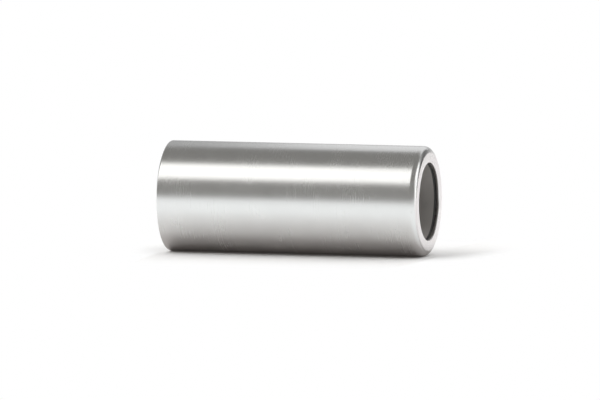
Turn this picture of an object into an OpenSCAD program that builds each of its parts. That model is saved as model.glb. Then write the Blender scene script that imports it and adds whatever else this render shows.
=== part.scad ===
// Cylindrical roller bearing with a long drawn shell, two caged rows and a seal at each end.
// The axis lies along X with the middle of the bearing at the origin: right is towards +X, left towards
// -X. There is no inner ring: the shaft itself is the inner raceway.

/* [Bearing] */
// Outside diameter of the shell
outer_d = 26; // [25:0.5:27]
// Overall length of the shell
length = 63; // [60:0.5:68]
// Diameter of the shaft that the rollers run on
shaft_d = 18; // [17.5:0.25:18.5]

/* [Shell] */
// Thickness of the drawn sheet
wall_t = 0.94; // [0.8:0.02:1.1]
// Thickness of the lip that is rolled in last, at the -X end
rolled_lip_t = 0.8; // [0.6:0.05:1]
// Outside radius of the drawn corner, at the +X end
drawn_corner_r = 1.65; // [1.2:0.05:2]
// Outside radius of the rolled corner, at the -X end
rolled_corner_r = 0.4; // [0.3:0.05:1.2]
// Smallest inside radius that the sheet can be bent to
sharpest_bend_r = 0.15; // [0.1:0.01:0.2]
// How far the edge of each lip stays off the shaft
lip_gap = 0.12; // [0.1:0.01:0.3]
// Radius on the edges of each lip
lip_edge_r = 0.22; // [0.1:0.01:0.25]

/* [Rollers] */
// Rollers in each of the two rows
rollers_per_row = 14; // [12:1:15]
// Length of a roller
roller_l = 22; // [20:0.1:22.4]
// Radius on the ends of a roller
roller_edge_r = 0.3; // [0.1:0.05:0.5]
// Radial clearance of a roller, to the shell and to the shaft
running_gap = 0.03; // [0.02:0.005:0.05]

/* [Cages] */
// How far a cage stays off the shaft and off the shell
cage_gap = 0.35; // [0.2:0.05:0.5]
// How much wider than its roller a pocket is, all round
pocket_gap = 0.06; // [0.04:0.01:0.12]
// How far a cage stays off its neighbours, and a roller off its pocket's ends
end_gap = 0.2; // [0.1:0.05:0.3]
// Chamfer on the ends of a cage
cage_chamfer = 0.4; // [0.2:0.05:0.6]

/* [Seals] */
// Length of a seal
seal_l = 4.2; // [3.6:0.1:4.6]
// How much rounder a seal's case is than the bend in the shell that it sits in
bend_gap = 0.1; // [0.05:0.01:0.2]
// Thickness of the sheet in a seal's case
case_t = 0.45; // [0.35:0.05:0.6]
// Radial width of the case's flange
flange_w = 1.4; // [1.1:0.05:1.6]
// Thickness of the rubber tongue that touches the shaft
tongue_t = 0.6; // [0.5:0.05:0.8]
// Thickness of the rubber that lines the case, outside the groove
lining_t = 0.5; // [0.4:0.05:0.7]
// Depth of the groove between the tongue and the lining
groove_depth = 2.6; // [2:0.1:2.9]
// Chamfer on the edges of the tongue
tongue_chamfer = 0.25; // [0.1:0.05:0.3]

/* [Hidden] */
$fn = 96;
// How far a cut runs on outside what it cuts
past = 0.5;
outer_r = outer_d / 2;
shaft_r = shaft_d / 2;
half_l = length / 2;

race_r = outer_r - wall_t;
lip_r = shaft_r + lip_gap;
drawn_bend_r = max(drawn_corner_r - wall_t, sharpest_bend_r);
rolled_bend_r = max(rolled_corner_r - wall_t, sharpest_bend_r);
cavity_left = -half_l + rolled_lip_t;
cavity_right = half_l - wall_t;

roller_r = (race_r - shaft_r) / 2 - running_gap;
pitch_r = (race_r + shaft_r) / 2;
pocket_r = roller_r + pocket_gap;
pocket_l = roller_l + 2 * end_gap;
// The right row is turned half a pitch from the left one
left_phase = 0;
right_phase = 0.5;

cage_in_r = shaft_r + cage_gap;
cage_out_r = race_r - cage_gap;
cages_left = cavity_left + seal_l;
cages_right = cavity_right - seal_l;
cage_l = (cages_right - cages_left - 3 * end_gap) / 2;
left_cage_x = cages_left + end_gap + cage_l / 2;
right_cage_x = cages_right - end_gap - cage_l / 2;

case_bend_r = drawn_bend_r + bend_gap;
case_inner_bend_r = max(case_bend_r - case_t, sharpest_bend_r);
case_in_r = race_r - case_t;
flange_r = race_r - flange_w;

// Turns a section about the axis of the bearing. In a section, X is the radius and Y runs along the axis.
module turned() {
    rotate([0, 90, 0])
        rotate_extrude()
            children();
}

// A rectangle of a section, from one radius and station to another
module band(inner_r, outside_r, from_x, to_x) {
    translate([inner_r, from_x])
        square([outside_r - inner_r, to_x - from_x]);
}

// What rounding takes off a corner with its tip at [radius, station]. side is the way it points.
module rounding(tip, side, round_r) {
    centre = tip - round_r * side;
    span = round_r + past;
    difference() {
        translate([centre[0] + (side[0] - 1) / 2 * span, centre[1] + (side[1] - 1) / 2 * span])
            square(span);
        translate(centre)
            circle(r = round_r);
    }
}

// What a 45 degree chamfer takes off a corner, placed as a rounding is
module chamfer(tip, side, cut) {
    polygon([
        tip + past * side,
        tip + [side[0] * past, -side[1] * (cut + past)],
        tip + [-side[0] * (cut + past), side[1] * past]
    ]);
}

// The hollow of the shell between its lips, open towards the axis
module cavity() {
    difference() {
        band(lip_r - past, race_r, cavity_left, cavity_right);
        rounding([race_r, cavity_right], [1, 1], drawn_bend_r);
        rounding([race_r, cavity_left], [1, -1], rolled_bend_r);
    }
}

module shell() {
    color("silver")
        turned()
            difference() {
                band(lip_r, outer_r, -half_l, half_l);
                cavity();
                rounding([outer_r, half_l], [1, 1], drawn_corner_r);
                rounding([outer_r, -half_l], [1, -1], rolled_corner_r);
                rounding([lip_r, half_l], [-1, 1], lip_edge_r);
                rounding([lip_r, cavity_right], [-1, -1], lip_edge_r);
                rounding([lip_r, -half_l], [-1, -1], lip_edge_r);
                rounding([lip_r, cavity_left], [-1, 1], lip_edge_r);
            }
}

// A seal's parts stand with the face that meets the lip at the origin, and reach towards -X
module seal_case_section() {
    difference() {
        band(flange_r, race_r, -seal_l, 0);
        rounding([race_r, 0], [1, 1], case_bend_r);
        difference() {
            band(flange_r - past, case_in_r, -seal_l - past, -case_t);
            rounding([case_in_r, -case_t], [1, 1], case_inner_bend_r);
        }
    }
}

module seal_lip_section() {
    difference() {
        union() {
            band(shaft_r, flange_r, -seal_l, 0);
            difference() {
                band(shaft_r, case_in_r, -seal_l, -case_t);
                rounding([case_in_r, -case_t], [1, 1], case_inner_bend_r);
            }
        }
        band(shaft_r + tongue_t, case_in_r - lining_t, -seal_l - past, groove_depth - seal_l);
        chamfer([shaft_r, 0], [-1, 1], tongue_chamfer);
        chamfer([shaft_r, -seal_l], [-1, -1], tongue_chamfer);
    }
}

// Puts a seal's part behind the lip at the +X end, or behind the one at the -X end
module at_right_lip() {
    translate([cavity_right, 0, 0])
        children();
}

module at_left_lip() {
    translate([cavity_left, 0, 0])
        mirror([1, 0, 0])
            children();
}

module right_seal_case() {
    color("darkgray")
        at_right_lip()
            turned()
                seal_case_section();
}

module right_seal_lip() {
    color([0.16, 0.16, 0.17])
        at_right_lip()
            turned()
                seal_lip_section();
}

module left_seal_case() {
    color("darkgray")
        at_left_lip()
            turned()
                seal_case_section();
}

module left_seal_lip() {
    color([0.16, 0.16, 0.17])
        at_left_lip()
            turned()
                seal_lip_section();
}

// The place of roller number n in a row. phase is how far the row is turned, in pitches.
module at_roller(n, phase) {
    rotate([360 * (n - 1 + phase) / rollers_per_row, 0, 0])
        translate([0, 0, pitch_r])
            children();
}

// A cage with one pocket for each roller. A pocket is narrower at both of its mouths than the roller
// is, so that the cage holds its rollers in.
module cage(phase) {
    color([0.27, 0.27, 0.28])
        difference() {
            turned()
                difference() {
                    band(cage_in_r, cage_out_r, -cage_l / 2, cage_l / 2);
                    for (end = [-1, 1]) {
                        chamfer([cage_out_r, end * cage_l / 2], [1, end], cage_chamfer);
                        chamfer([cage_in_r, end * cage_l / 2], [-1, end], cage_chamfer);
                    }
                }
            for (n = [1 : rollers_per_row])
                at_roller(n, phase)
                    rotate([0, 90, 0])
                        cylinder(h = pocket_l, r = pocket_r, center = true);
        }
}

module left_cage() {
    translate([left_cage_x, 0, 0])
        cage(left_phase);
}

module right_cage() {
    translate([right_cage_x, 0, 0])
        cage(right_phase);
}

module roller() {
    color("gainsboro")
        turned()
            difference() {
                band(0, roller_r, -roller_l / 2, roller_l / 2);
                for (end = [-1, 1])
                    rounding([roller_r, end * roller_l / 2], [1, end], roller_edge_r);
            }
}

module left_roller(n) {
    translate([left_cage_x, 0, 0])
        at_roller(n, left_phase)
            roller();
}

module right_roller(n) {
    translate([right_cage_x, 0, 0])
        at_roller(n, right_phase)
            roller();
}

shell();
left_seal_case();
left_seal_lip();
right_seal_case();
right_seal_lip();
left_cage();
right_cage();
for (n = [1 : rollers_per_row]) {
    left_roller(n);
    right_roller(n);
}
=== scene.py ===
import math

import bmesh
import bpy
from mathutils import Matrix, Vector


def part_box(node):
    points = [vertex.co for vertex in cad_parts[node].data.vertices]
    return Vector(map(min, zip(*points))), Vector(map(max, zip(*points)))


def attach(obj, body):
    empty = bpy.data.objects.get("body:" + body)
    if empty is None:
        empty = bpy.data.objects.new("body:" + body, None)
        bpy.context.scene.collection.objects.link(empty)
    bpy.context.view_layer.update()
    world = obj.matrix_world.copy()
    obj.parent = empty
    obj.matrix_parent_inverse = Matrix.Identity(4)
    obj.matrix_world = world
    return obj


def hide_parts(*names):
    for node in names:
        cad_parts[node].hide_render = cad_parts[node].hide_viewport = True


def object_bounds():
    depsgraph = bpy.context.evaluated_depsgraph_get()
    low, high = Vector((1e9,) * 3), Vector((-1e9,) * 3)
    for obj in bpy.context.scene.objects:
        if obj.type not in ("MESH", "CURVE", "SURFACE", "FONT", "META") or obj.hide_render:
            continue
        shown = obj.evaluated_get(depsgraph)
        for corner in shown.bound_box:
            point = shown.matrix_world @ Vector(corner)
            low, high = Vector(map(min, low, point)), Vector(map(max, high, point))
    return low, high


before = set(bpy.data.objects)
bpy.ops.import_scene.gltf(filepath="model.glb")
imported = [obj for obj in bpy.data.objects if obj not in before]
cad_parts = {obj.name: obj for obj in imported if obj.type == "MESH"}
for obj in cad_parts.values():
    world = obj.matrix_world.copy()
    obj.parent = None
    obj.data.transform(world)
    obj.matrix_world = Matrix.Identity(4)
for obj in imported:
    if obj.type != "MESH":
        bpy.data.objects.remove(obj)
cadLow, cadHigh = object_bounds()
centre = (cadLow + cadHigh) / 2
mm = 0.001
near = 0.00001  # how close a point must lie to count as being at a place
weld = near / 10  # points closer than this are merged
smoothUpTo = 40  # degrees; sharper edges stay sharp
bpy.context.scene.view_settings.view_transform = "Standard"
print("frame loaded:", len(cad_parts), "nodes")


# Node helpers: one material or world at a time, its nodes laid down and wired by name

def newMaterial(name):
    mat = bpy.data.materials.new(name)
    mat.use_nodes = True
    mat.node_tree.nodes.clear()
    return mat, mat.node_tree


def addNode(tree, kind, inputs=None, **settings):
    node = tree.nodes.new("ShaderNode" + kind)
    for key, value in settings.items():
        setattr(node, key, value)
    for key, value in (inputs or {}).items():
        if hasattr(value, "links"):  # another node's output
            tree.links.new(value, node.inputs[key])
        else:
            node.inputs[key].default_value = value
    return node


def addRamp(tree, source, stops):
    ramp = addNode(tree, "ValToRGB", {"Fac": source})
    elements = ramp.color_ramp.elements
    while len(elements) > 1:
        elements.remove(elements[-1])
    elements[0].position, elements[0].color = stops[0][0], rgb(stops[0][1])
    for place, colour in stops[1:]:
        elements.new(place).color = rgb(colour)
    return ramp.outputs["Color"]


def addMix(tree, share, first, second):
    # 6, 7 and 2 are the colour sockets of a node that also mixes numbers and vectors
    return addNode(tree, "Mix", {0: share, 6: first, 7: second}, data_type="RGBA").outputs[2]


def rgb(colour):
    if isinstance(colour, (int, float)):
        colour = (colour, colour, colour)
    return (*colour, 1)


# Camera: a long lens, a little to the right of the front and a little above the floor

view = dict(azimuth=15.42, elevation=5.04, lens=900, sensor=36, frameWidth=0.14118,
            right=0.04 * mm, down=0.39 * mm, clipStart=0.1, clipEnd=50)


def direction(azimuth, elevation):
    a, e = math.radians(azimuth), math.radians(elevation)
    return Vector((math.sin(a) * math.cos(e), -math.cos(a) * math.cos(e), math.sin(e)))


def makeCamera():
    back = direction(view["azimuth"], view["elevation"])
    turn = (-back).to_track_quat("-Z", "Y")
    distance = view["lens"] / view["sensor"] * view["frameWidth"]
    aim = centre + turn @ Vector((view["right"], -view["down"], 0))
    bpy.ops.object.camera_add(location=aim + back * distance, rotation=turn.to_euler())
    camera = bpy.context.object
    camera.name = "camera"
    camera.data.lens = view["lens"]
    camera.data.sensor_width = view["sensor"]
    camera.data.clip_start = view["clipStart"]
    camera.data.clip_end = view["clipEnd"]
    bpy.context.scene.camera = camera
    print("camera placed")


# Studio: white floor, dim surroundings, five soft panels and a flag

studio = dict(floorSize=6.0, floorColour=0.8, warm=(1.0, 0.985, 0.94))
# the surroundings that metal sees, each with its level and where it begins and ends,
# from 0 at the front horizon over the top to 1 at the back one
sky = dict(frontHorizon=(0.9, 0.0), frontEdge=(0.5, 0.012), surroundings=(0.262, 0.04, 0.3),
           overhead=(0.235, 0.5, 0.68), backWall=(0.4, 0.74, 0.95), backEdge=(0.75, 0.985),
           backHorizon=(0.9, 1.0))
# painted shade and light: metal sees the paper in painted tones by distance in mm from the bearing's
# foot, darker and warmer close to it and brighter than white far behind it
paintedShadeAndGlow = dict(
    # glow is a painted glow: a little light that the paper gives off of its own
    reach=300 * mm, glow=(0.019, 0.0165, 0.0158),
    front=dict(left=1.0, right=4.0, tones=[
        (4, (0.49, 0.465, 0.458)), (8, (0.56, 0.535, 0.527)), (12, (0.745, 0.733, 0.728)),
        (20, (0.85, 0.853, 0.853)), (36, (0.95, 0.975, 0.985))]),
    behind=dict(left=1.0, right=1.0, tones=[
        (4, (0.45, 0.43, 0.42)), (9, (0.66, 0.64, 0.64)), (22, (0.84, 0.815, 0.825)),
        (45, (0.935, 0.91, 0.92)), (130, (0.99, 0.96, 0.97)), (217, (1.05, 1.02, 1.03)),
        (290, (1.13, 1.1, 1.11))]))
# the camera sees the paper painted white further off: painted light that fades the floor's own shadow
# out past an edge shaped round the foot
blowOut = dict(left=3.5, right=2.4, shift=21 * mm, shiftOver=5 * mm,
               fromEdge=15 * mm, toEdge=40 * mm, shadow=0.92)


def makeWorld():
    world = bpy.data.worlds.new("studio")
    bpy.context.scene.world = world
    world.use_nodes = True
    tree = world.node_tree
    tree.nodes.clear()
    coords = addNode(tree, "TexCoord")
    split = addNode(tree, "SeparateXYZ", {0: coords.outputs["Generated"]})
    # the angle about the X axis, from 0 at the front horizon to 1 at the back one
    front = addNode(tree, "Math", {0: split.outputs["Y"], 1: -1.0}, operation="MULTIPLY")
    angle = addNode(tree, "Math", {0: split.outputs["Z"], 1: front.outputs[0]}, operation="ARCTAN2")
    share = addNode(tree, "Math", {0: angle.outputs[0], 1: math.pi}, operation="DIVIDE")
    stops = []
    for part, (level, *places) in sky.items():
        warm = part in ("surroundings", "overhead")
        colour = [level * channel for channel in studio["warm"]] if warm else level
        stops += [(place, colour) for place in places]
    seen = addRamp(tree, share.outputs[0], stops)
    around = addNode(tree, "Background", {"Color": seen, "Strength": 1.0})
    white = addNode(tree, "Background", {"Color": rgb(1), "Strength": 1.0})
    path = addNode(tree, "LightPath")
    mix = addNode(tree, "MixShader", {
        0: path.outputs["Is Camera Ray"], 1: around.outputs[0], 2: white.outputs[0]})
    addNode(tree, "OutputWorld", {"Surface": mix.outputs[0]})


def addDistance(tree, split, left, right, shift=0.0):
    # how far a point of the floor lies from the bearing's foot; what lies past an end counts
    # left or right times over
    pastLeft = addNode(tree, "Math", {0: cadLow.x, 1: split.outputs["X"]}, operation="SUBTRACT")
    pastRight = addNode(tree, "Math", {0: split.outputs["X"], 1: cadHigh.x}, operation="SUBTRACT")
    leftPart = addNode(tree, "Math", {0: pastLeft.outputs[0], 1: left}, operation="MULTIPLY")
    rightPart = addNode(tree, "Math", {0: pastRight.outputs[0], 1: right}, operation="MULTIPLY")
    past = addNode(tree, "Math", {0: leftPart.outputs[0], 1: rightPart.outputs[0]}, operation="MAXIMUM")
    beyond = addNode(tree, "Math", {0: past.outputs[0], 1: 0.0}, operation="MAXIMUM")
    # past the ends the middle of what is counted lies further back
    shifted = addNode(tree, "MapRange", {
        "Value": beyond.outputs[0], "From Max": blowOut["shiftOver"], "To Max": shift})
    depth = addNode(tree, "Math", {0: split.outputs["Y"], 1: shifted.outputs[0]}, operation="SUBTRACT")
    away = addNode(tree, "CombineXYZ", {"X": beyond.outputs[0], "Y": depth.outputs[0]})
    return addNode(tree, "VectorMath", {0: away.outputs[0]}, operation="LENGTH").outputs["Value"]


# the painted tones of the paper as metal sees it, darker near the bearing's foot
def makePaintedFloorTone(tree, split, side):
    distance = addDistance(tree, split, side["left"], side["right"])
    share = addNode(tree, "Math", {0: distance, 1: paintedShadeAndGlow["reach"]}, operation="DIVIDE")
    stops = [(place * mm / paintedShadeAndGlow["reach"], tone) for place, tone in side["tones"]]
    return addRamp(tree, share.outputs[0], stops)


def makeFloor():
    bpy.ops.mesh.primitive_plane_add(size=studio["floorSize"], location=(0, 0, cadLow.z))
    floor = bpy.context.object
    floor.name = "studioFloor"
    mat, tree = newMaterial("floorPaper")
    coords = addNode(tree, "TexCoord")
    split = addNode(tree, "SeparateXYZ", {0: coords.outputs["Object"]})
    isBehind = addNode(tree, "Math", {0: split.outputs["Y"], 1: 0.0}, operation="GREATER_THAN")
    tone = addMix(tree, isBehind.outputs[0], makePaintedFloorTone(tree, split, paintedShadeAndGlow["front"]),
                  makePaintedFloorTone(tree, split, paintedShadeAndGlow["behind"]))
    # painted light: further off, the camera sees plain white in place of the floor's own shadow
    blown = addNode(tree, "MapRange", {
        "Value": addDistance(tree, split, blowOut["left"], blowOut["right"], blowOut["shift"]),
        "From Min": blowOut["fromEdge"], "From Max": blowOut["toEdge"]}, interpolation_type="SMOOTHSTEP")
    paper = addNode(tree, "BsdfDiffuse", {"Color": rgb(studio["floorColour"])})
    # painted glow: a little light that the paper gives off, seen by the camera and by metal
    glow = addNode(tree, "Emission", {"Color": rgb(paintedShadeAndGlow["glow"]), "Strength": 1.0})
    shadowed = addNode(tree, "BsdfDiffuse", {"Color": rgb(blowOut["shadow"])})
    # painted shade and light: the paper that metal sees takes the painted tones as its colour
    paintedFloorInReflection = addNode(tree, "BsdfDiffuse", {"Color": tone})
    shadowedWithPaintedGlow = addNode(tree, "AddShader", {0: shadowed.outputs[0], 1: glow.outputs[0]})
    paintedToneAndGlow = addNode(tree, "AddShader", {0: paintedFloorInReflection.outputs[0], 1: glow.outputs[0]})
    white = addNode(tree, "Emission", {"Color": rgb(1.0), "Strength": 1.0})
    seen = addNode(tree, "MixShader", {
        0: blown.outputs[0], 1: shadowedWithPaintedGlow.outputs[0], 2: white.outputs[0]})
    path = addNode(tree, "LightPath")
    mix = addNode(tree, "MixShader", {
        0: path.outputs["Is Camera Ray"], 1: paper.outputs[0], 2: seen.outputs[0]})
    last = addNode(tree, "MixShader", {
        0: path.outputs["Is Glossy Ray"], 1: mix.outputs[0], 2: paintedToneAndGlow.outputs[0]})
    addNode(tree, "OutputMaterial", {"Surface": last.outputs[0]})
    floor.data.materials.append(mat)


panels = dict(
    front=dict(about=58.1, away=1.0, fromX=-2.0, toX=-0.1, height=0.623, level=1.34,
               colour=(1.0, 0.995, 0.98)),
    back=dict(about=146.8, away=0.5, fromX=-0.145, toX=0.25, height=0.335, level=0.475,
              colour=(0.98, 0.99, 1.0)),
    side=dict(azimuth=105, elevation=18, away=1.0, width=0.65, height=0.65, level=1.35,
              dimCorner=0.1, dimOver=0.75),
    key=dict(azimuth=-52, elevation=42, away=1.2, width=0.9, height=0.9, level=1.1),
    top=dict(above=1.2, fromX=-5.5, toX=2.3, fromY=-0.42, toY=1.6, level=0.94),
)
flag = dict(azimuth=141.5, away=0.4, width=0.268, height=0.263, tone=0.13)


def addPanel(name, location, rotation, width, height, level, colour=(1, 1, 1)):
    bpy.ops.object.light_add(type="AREA", location=location, rotation=rotation)
    lamp = bpy.context.object
    lamp.name = name
    lamp.data.shape = "RECTANGLE"
    lamp.data.size, lamp.data.size_y = width, height
    lamp.data.energy = level * math.pi * width * height
    lamp.data.color = colour
    lamp.visible_camera = False
    return lamp


def dimPanel(lamp, corner, over):
    # a panel with a dimmer corner, so that metal seen along its length doesn't go white
    lamp.data.use_nodes = True
    tree = lamp.data.node_tree
    tree.nodes.clear()
    place = addNode(tree, "NewGeometry")
    split = addNode(tree, "SeparateXYZ", {0: place.outputs["Parametric"]})
    further = addNode(tree, "Math", {0: split.outputs["X"], 1: split.outputs["Y"]}, operation="MAXIMUM")
    share = addNode(tree, "MapRange", {"Value": further.outputs[0], "From Max": over, "To Min": corner})
    glow = addNode(tree, "Emission", {"Color": rgb(1.0), "Strength": share.outputs[0]})
    addNode(tree, "OutputLight", {"Surface": glow.outputs[0]})


def makePanels():
    for name in ("front", "back"):  # long panels that lie along the bearing's axis
        panel = panels[name]
        about = math.radians(panel["about"])
        place = Vector(((panel["fromX"] + panel["toX"]) / 2, -panel["away"] * math.cos(about),
                        panel["away"] * math.sin(about)))
        addPanel(name + "Panel", centre + place, (math.pi / 2 - about, 0, 0),
                 panel["toX"] - panel["fromX"], panel["height"], panel["level"], panel["colour"])
    for name in ("side", "key"):  # panels that face the bearing
        panel = panels[name]
        back = direction(panel["azimuth"], panel["elevation"])
        turn = back.to_track_quat("Z", "Y").to_euler()
        lamp = addPanel(name + "Panel", centre + back * panel["away"], turn,
                        panel["width"], panel["height"], panel["level"])
        if name == "side":
            dimPanel(lamp, panel["dimCorner"], panel["dimOver"])
        else:
            lamp.visible_glossy = False
    top = panels["top"]
    place = Vector(((top["fromX"] + top["toX"]) / 2, (top["fromY"] + top["toY"]) / 2, top["above"]))
    lamp = addPanel("topPanel", centre + place, (0, 0, 0),
                    top["toX"] - top["fromX"], top["toY"] - top["fromY"], top["level"])
    lamp.visible_glossy = False
    print("studio lit")


def makeFlag():
    # a dark cloth on a frame that gives the bright end face a dark edge
    turn = math.radians(flag["azimuth"])
    foot = direction(flag["azimuth"], 0) * flag["away"]
    bpy.ops.mesh.primitive_plane_add(size=1, location=(foot.x, foot.y, cadLow.z + flag["height"] / 2),
                                     rotation=(math.pi / 2, 0, turn))
    cloth = bpy.context.object
    cloth.name = "studioFlag"
    cloth.scale = (flag["width"], flag["height"], 1)
    cloth.visible_camera = False
    mat, tree = newMaterial("flagCloth")
    dark = addNode(tree, "BsdfDiffuse", {"Color": rgb(flag["tone"])})
    addNode(tree, "OutputMaterial", {"Surface": dark.outputs[0]})
    cloth.data.materials.append(mat)


# Modelling helpers: a primitive is shaped in edit mode, on what is selected by place

def pick(piece):
    bpy.ops.object.select_all(action="DESELECT")
    piece.select_set(True)
    bpy.context.view_layer.objects.active = piece


def startEdit(piece):
    pick(piece)
    bpy.ops.object.mode_set(mode="EDIT")
    bpy.ops.mesh.select_mode(type="EDGE")
    bpy.ops.mesh.select_all(action="DESELECT")


def endEdit():
    bpy.ops.mesh.select_all(action="DESELECT")
    bpy.ops.object.mode_set(mode="OBJECT")


def applyPlace(piece):
    pick(piece)
    bpy.ops.object.transform_apply(location=True, rotation=True, scale=True)


def selectRings(piece, rings):
    mesh = bmesh.from_edit_mesh(piece.data)
    for edge in mesh.edges:
        ends = [(v.co.x, math.hypot(v.co.y, v.co.z)) for v in edge.verts]
        for x, radius in rings:
            if all(abs(end[0] - x) < near and abs(end[1] - radius) < near for end in ends):
                edge.select_set(True)
    bmesh.update_edit_mesh(piece.data)


def roundRings(piece, rings, width, steps):
    startEdit(piece)
    selectRings(piece, rings)
    bpy.ops.mesh.bevel(offset=width, offset_type="OFFSET", segments=steps, profile=0.5, affect="EDGES")
    endEdit()


def turnPiece(name, sides, section):
    # a circle that is drawn out from corner to corner of the section and closed on itself
    x, radius = section[0]
    bpy.ops.object.select_all(action="DESELECT")
    bpy.ops.mesh.primitive_circle_add(vertices=sides, radius=radius, fill_type="NOTHING",
                                      location=(x, 0, 0), rotation=(0, math.pi / 2, 0))
    piece = bpy.context.object
    piece.name = name
    piece.data.name = name
    applyPlace(piece)
    startEdit(piece)
    bpy.ops.mesh.select_all(action="SELECT")
    for newX, newRadius in section[1:]:
        bpy.ops.mesh.extrude_edges_move(TRANSFORM_OT_translate={"value": (newX - x, 0, 0)})
        share = newRadius / radius
        bpy.ops.transform.resize(value=(1, share, share), center_override=(newX, 0, 0))
        x, radius = newX, newRadius
    bpy.ops.mesh.select_all(action="DESELECT")
    selectRings(piece, [section[0], section[-1]])
    bpy.ops.mesh.bridge_edge_loops()
    bpy.ops.mesh.select_all(action="SELECT")
    bpy.ops.mesh.remove_doubles(threshold=weld)
    bpy.ops.mesh.normals_make_consistent(inside=False)
    endEdit()
    return piece


def applyModifier(piece, kind, **settings):
    pick(piece)
    modifier = piece.modifiers.new(kind.title(), kind)
    for key, value in settings.items():
        setattr(modifier, key, value)
    bpy.ops.object.modifier_apply(modifier=modifier.name)


def finishPiece(piece, body, slot, material, *nodes):
    pick(piece)
    bpy.ops.object.shade_smooth_by_angle(angle=math.radians(smoothUpTo))
    applyModifier(piece, "WEIGHTED_NORMAL", keep_sharp=True)
    piece.data.materials.clear()
    piece.data.materials.append(material)
    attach(piece, body)
    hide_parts(*nodes)


# Materials

steelLook = dict(colour=(0.80, 0.80, 0.795), roughness=0.26, spread=0.03, lines=5200, bump=0.02,
                 # the last three darken the cut edge of each lip, partly a duller cut face and partly
                 # painted shade from the bore
                 cutEdgeAndShade=(0.5, 0.485, 0.475), edgeFrom=0.01 * mm, edgeTo=0.06 * mm)
rollerLook = dict(colour=(0.78, 0.785, 0.79), roughness=0.12, spread=0.03, lines=6500, bump=0.003)
caseLook = dict(colour=(0.5, 0.5, 0.49), roughness=0.34, spread=0.05, lines=3800, bump=0.006)
# what all three steels share: fine lines over broad clouds, which also darken the colour a little
marks = dict(clouds=160.0, cloudShare=0.45, fromValue=0.3, toValue=0.7, darkest=0.97, darkTo=0.35,
             brightFrom=0.6, strength=0.25)


def makeSteel(name, look):
    # bright steel with fine marks that run round the axis, from grinding or turning
    mat, tree = newMaterial(name)
    coords = addNode(tree, "TexCoord")
    split = addNode(tree, "SeparateXYZ", {0: coords.outputs["Object"]})
    flat = addNode(tree, "CombineXYZ", {"X": 0.0, "Y": split.outputs["Y"], "Z": split.outputs["Z"]})
    radius = addNode(tree, "VectorMath", {0: flat.outputs[0]}, operation="LENGTH")
    along = addNode(tree, "Math", {0: split.outputs["X"], 1: radius.outputs["Value"]}, operation="ADD")
    around = addNode(tree, "CombineXYZ", {"X": along.outputs[0]})
    lines = addNode(tree, "TexNoise", {
        "Vector": around.outputs[0], "Scale": look["lines"], "Detail": 3.0})
    cloud = addNode(tree, "TexNoise", {
        "Vector": coords.outputs["Object"], "Scale": marks["clouds"], "Detail": 4.0})
    blend = addNode(tree, "Mix", {
        "Factor": marks["cloudShare"], "A": lines.outputs[0], "B": cloud.outputs[0]})
    rough = addNode(tree, "MapRange", {
        "Value": blend.outputs[0], "From Min": marks["fromValue"], "From Max": marks["toValue"],
        "To Min": look["roughness"] - look["spread"], "To Max": look["roughness"] + look["spread"]})
    dark = [channel * marks["darkest"] for channel in look["colour"]]
    colour = addRamp(tree, cloud.outputs[0], [
        (marks["darkTo"], dark), (marks["brightFrom"], look["colour"])])
    if "cutEdgeAndShade" in look:  # each lip's cut edge is darker: partly its duller cut face, partly painted shade from the bore
        face = addNode(tree, "MapRange", {
            "Value": radius.outputs["Value"], "From Min": shell["lipRadius"] + look["edgeFrom"],
            "From Max": shell["lipRadius"] + look["edgeTo"]})
        colour = addMix(tree, face.outputs[0], rgb(look["cutEdgeAndShade"]), colour)
    bump = addNode(tree, "Bump", {
        "Height": lines.outputs[0], "Strength": marks["strength"], "Distance": look["bump"] * mm})
    shader = addNode(tree, "BsdfPrincipled", {
        "Base Color": colour, "Metallic": 1.0, "Roughness": rough.outputs[0],
        "Normal": bump.outputs[0]})
    addNode(tree, "OutputMaterial", {"Surface": shader.outputs[0]})
    return mat


rubberLook = dict(colour=(0.46, 0.44, 0.422), worn=(0.51, 0.487, 0.467), roughness=0.6, grain=2600,
                  # the last three give painted shade: a dark colour on the rubber just behind the
                  # shell's lips, its width and its edge
                  bump=0.02, paintedLipShade=0.075, lipShadeWidth=0.33 * mm, lipShadeEdge=0.05 * mm)
polymerLook = dict(colour=(0.06, 0.06, 0.062), worn=(0.085, 0.085, 0.087), roughness=0.48,
                   grain=1700, bump=0.015)
# what both share: flow marks, which carry the wear and the change in roughness
flowMarks = dict(scale=210.0, distortion=0.6, plainTo=0.35, wornFrom=0.7, fromValue=0.3, toValue=0.7,
                 spread=0.06, strength=0.4)


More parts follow.
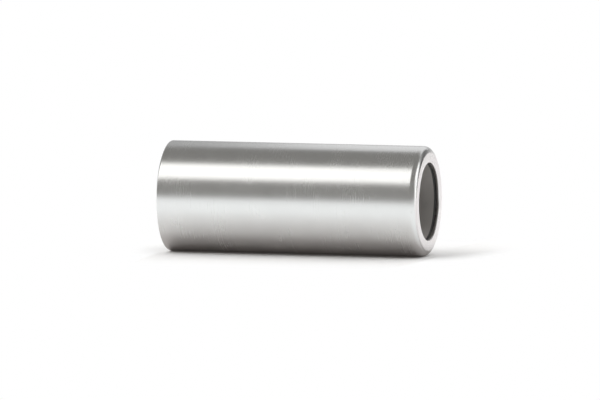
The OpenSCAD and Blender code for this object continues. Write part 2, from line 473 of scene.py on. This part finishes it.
def makeMoulded(name, look):
    # a moulded part: faint flow marks, a fine grain and a roughness that wanders
    mat, tree = newMaterial(name)
    coords = addNode(tree, "TexCoord")
    grain = addNode(tree, "TexNoise", {
        "Vector": coords.outputs["Object"], "Scale": look["grain"], "Detail": 5.0})
    flow = addNode(tree, "TexNoise", {
        "Vector": coords.outputs["Object"], "Scale": flowMarks["scale"], "Detail": 3.0,
        "Distortion": flowMarks["distortion"]})
    colour = addRamp(tree, flow.outputs[0], [
        (flowMarks["plainTo"], look["colour"]), (flowMarks["wornFrom"], look["worn"])])
    if "paintedLipShade" in look:  # painted shade: the rubber just behind the lips of the shell is painted dark, where the lips shade it
        split = addNode(tree, "SeparateXYZ", {0: coords.outputs["Object"]})
        along = addNode(tree, "Math", {0: split.outputs["X"]}, operation="ABSOLUTE")
        lipShadeStart = cadHigh.x - shell["wall"] - look["lipShadeWidth"]
        lipShaded = addNode(tree, "MapRange", {
            "Value": along.outputs[0], "From Min": lipShadeStart, "From Max": lipShadeStart + look["lipShadeEdge"]})
        colour = addMix(tree, lipShaded.outputs[0], colour, rgb(look["paintedLipShade"]))
    rough = addNode(tree, "MapRange", {
        "Value": flow.outputs[0],
        "From Min": flowMarks["fromValue"], "From Max": flowMarks["toValue"],
        "To Min": look["roughness"] - flowMarks["spread"],
        "To Max": look["roughness"] + flowMarks["spread"]})
    bump = addNode(tree, "Bump", {
        "Height": grain.outputs[0], "Strength": flowMarks["strength"],
        "Distance": look["bump"] * mm})
    shader = addNode(tree, "BsdfPrincipled", {
        "Base Color": colour, "Roughness": rough.outputs[0], "Normal": bump.outputs[0]})
    addNode(tree, "OutputMaterial", {"Surface": shader.outputs[0]})
    return mat


# Shell: one long tube of sheet, drawn over at the right and rolled in at the left

shell = dict(sides=192, wall=0.94 * mm, rolledLip=0.8 * mm, lipRadius=9.12 * mm, drawnCorner=1.65 * mm,
             rolledCorner=0.4 * mm, drawnBend=0.71 * mm, rolledBend=0.15 * mm, lipEdge=0.22 * mm,
             cornerSteps=12, drawnBendSteps=6, rolledBendSteps=3, lipSteps=5)


def makeShell(material):
    low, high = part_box("shell")
    outer, lip = high.z, shell["lipRadius"]
    race = outer - shell["wall"]
    left, right = low.x + shell["rolledLip"], high.x - shell["wall"]
    piece = turnPiece("bearingShell", shell["sides"], [
        (low.x, lip), (low.x, outer), (high.x, outer), (high.x, lip),
        (right, lip), (right, race), (left, race), (left, lip)])
    roundRings(piece, [(high.x, outer)], shell["drawnCorner"], shell["cornerSteps"])
    roundRings(piece, [(low.x, outer)], shell["rolledCorner"], shell["cornerSteps"])
    roundRings(piece, [(right, race)], shell["drawnBend"], shell["drawnBendSteps"])
    roundRings(piece, [(left, race)], shell["rolledBend"], shell["rolledBendSteps"])
    roundRings(piece, [(low.x, lip), (high.x, lip), (right, lip), (left, lip)],
               shell["lipEdge"], shell["lipSteps"])
    finishPiece(piece, "outer_ring", "shell_steel", material, "shell")
    print("shell made:", len(piece.data.polygons), "faces")


# Seals: a rubber lining with a tongue on the shaft, moulded into a bent steel case

seal = dict(sides=128, length=4.2 * mm, shaft=9.0 * mm, tongue=0.6 * mm, chamfer=0.25 * mm,
            frontEdge=0.1 * mm, groove=2.6 * mm, grooveCorner=0.2 * mm, lining=0.5 * mm,
            flange=1.4 * mm, sheet=0.45 * mm, bend=0.81 * mm, innerBend=0.36 * mm,
            edgeSteps=3, bendSteps=6, innerBendSteps=4)


def makeSeal(side, rubber, steel):
    low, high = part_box(side + "_seal_case")
    race = high.z
    inward = 1 if side == "left" else -1
    face = low.x if side == "left" else high.x
    end = face + inward * seal["length"]
    back, bottom = face + inward * seal["sheet"], end - inward * seal["groove"]
    flange, pocket = race - seal["flange"], race - seal["sheet"]
    tip, tongue, lining = seal["shaft"], seal["shaft"] + seal["tongue"], pocket - seal["lining"]

    lip = turnPiece(side + "SealLip", seal["sides"], [
        (face, tip), (face, flange), (back, flange), (back, pocket), (end, pocket), (end, lining),
        (bottom, lining), (bottom, tongue), (end, tongue), (end, tip)])
    roundRings(lip, [(end, tip)], seal["chamfer"], seal["edgeSteps"])
    roundRings(lip, [(face, tip)], seal["frontEdge"], seal["edgeSteps"])
    roundRings(lip, [(back, pocket)], seal["innerBend"], seal["innerBendSteps"])
    roundRings(lip, [(bottom, lining), (bottom, tongue)], seal["grooveCorner"], seal["edgeSteps"])
    finishPiece(lip, "outer_ring", "seal_rubber", rubber, side + "_seal_lip")

    case = turnPiece(side + "SealCase", seal["sides"], [
        (face, flange), (face, race), (end, race), (end, pocket), (back, pocket), (back, flange)])
    roundRings(case, [(face, race)], seal["bend"], seal["bendSteps"])
    roundRings(case, [(back, pocket)], seal["innerBend"], seal["innerBendSteps"])
    finishPiece(case, "outer_ring", "case_steel", steel, side + "_seal_case")
    print(side, "seal made")


# Rollers: one is modelled and the rest are copies of it, each set down where its node lies

roller = dict(perRow=14, sides=40, edge=0.3 * mm, steps=4, rim=0.35 * mm,
              dish=0.03 * mm, dishSlope=0.06 * mm)


def makeFirstRoller():
    low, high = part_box("left_roller_1")
    length, radius = high.x - low.x, (high.z - low.z) / 2
    bpy.ops.object.select_all(action="DESELECT")
    bpy.ops.mesh.primitive_cylinder_add(vertices=roller["sides"], radius=radius, depth=length,
                                        end_fill_type="NGON", rotation=(0, math.pi / 2, 0))
    piece = bpy.context.object
    piece.name = "firstRoller"
    applyPlace(piece)
    for end in (-length / 2, length / 2):
        roundRings(piece, [(end, radius)], roller["edge"], roller["steps"])
        startEdit(piece)
        bpy.ops.mesh.select_mode(type="FACE")
        mesh = bmesh.from_edit_mesh(piece.data)
        for face in mesh.faces:
            if abs(face.calc_center_median().x - end) < near and len(face.verts) == roller["sides"]:
                face.select_set(True)
        bmesh.update_edit_mesh(piece.data)
        bpy.ops.mesh.inset(thickness=roller["rim"])
        bpy.ops.mesh.inset(thickness=roller["dishSlope"])
        bpy.ops.transform.translate(value=(-math.copysign(roller["dish"], end), 0, 0))
        endEdit()
    return piece


def makeRollers(material):
    first = makeFirstRoller()
    for side in ("left", "right"):
        for number in range(1, roller["perRow"] + 1):
            node = f"{side}_roller_{number}"
            low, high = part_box(node)
            pick(first)
            bpy.ops.object.duplicate()
            piece = bpy.context.object
            piece.name = f"{side}Roller{number}"
            piece.data.name = piece.name
            piece.location = (low + high) / 2
            applyPlace(piece)
            finishPiece(piece, node, "roller_steel", material, node)
    bpy.data.objects.remove(first)
    print("rollers made:", 2 * roller["perRow"])


# Cages: a moulded sleeve for each row, with a pocket cut for every roller

cage = dict(sides=168, gap=0.35 * mm, chamfer=0.4 * mm, pocketSides=48, pocketGap=0.06 * mm,
            pocketEnd=0.2 * mm, softEdge=0.05 * mm, softSteps=2, softOver=40)


def makeCage(side, material):
    low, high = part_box(side + "_cage")
    inner, outer = seal["shaft"] + cage["gap"], high.z
    corners = [(low.x, inner), (low.x, outer), (high.x, outer), (high.x, inner)]
    piece = turnPiece(side + "Cage", cage["sides"], corners)
    roundRings(piece, corners, cage["chamfer"], 1)
    cutters = []
    for number in range(1, roller["perRow"] + 1):
        rollerLow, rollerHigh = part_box(f"{side}_roller_{number}")
        bpy.ops.object.select_all(action="DESELECT")
        bpy.ops.mesh.primitive_cylinder_add(
            vertices=cage["pocketSides"],
            radius=(rollerHigh.z - rollerLow.z) / 2 + cage["pocketGap"],
            depth=rollerHigh.x - rollerLow.x + 2 * cage["pocketEnd"], end_fill_type="NGON",
            location=(rollerLow + rollerHigh) / 2, rotation=(0, math.pi / 2, 0))
        cutters.append(bpy.context.object)
    for cutter in cutters:
        cutter.select_set(True)
    bpy.ops.object.join()
    cutter = bpy.context.object
    applyModifier(piece, "BOOLEAN", operation="DIFFERENCE", solver="EXACT", object=cutter)
    bpy.data.objects.remove(cutter)
    applyModifier(piece, "BEVEL", width=cage["softEdge"], segments=cage["softSteps"],
                  limit_method="ANGLE", angle_limit=math.radians(cage["softOver"]))
    finishPiece(piece, side + "_cage", "cage_polymer", material, side + "_cage")
    print(side, "cage made:", len(piece.data.polygons), "faces")


bpy.ops.object.select_all(action="DESELECT")
makeCamera()
makeWorld()
makeFloor()
makePanels()
makeFlag()

shellSteel = makeSteel("shellSteel", steelLook)
rollerSteel = makeSteel("rollerSteel", rollerLook)
caseSteel = makeSteel("caseSteel", caseLook)
sealRubber = makeMoulded("sealRubber", rubberLook)
cagePolymer = makeMoulded("cagePolymer", polymerLook)
print("materials made")

makeShell(shellSteel)
for side in ("left", "right"):
    makeSeal(side, sealRubber, caseSteel)
    makeCage(side, cagePolymer)
makeRollers(rollerSteel)
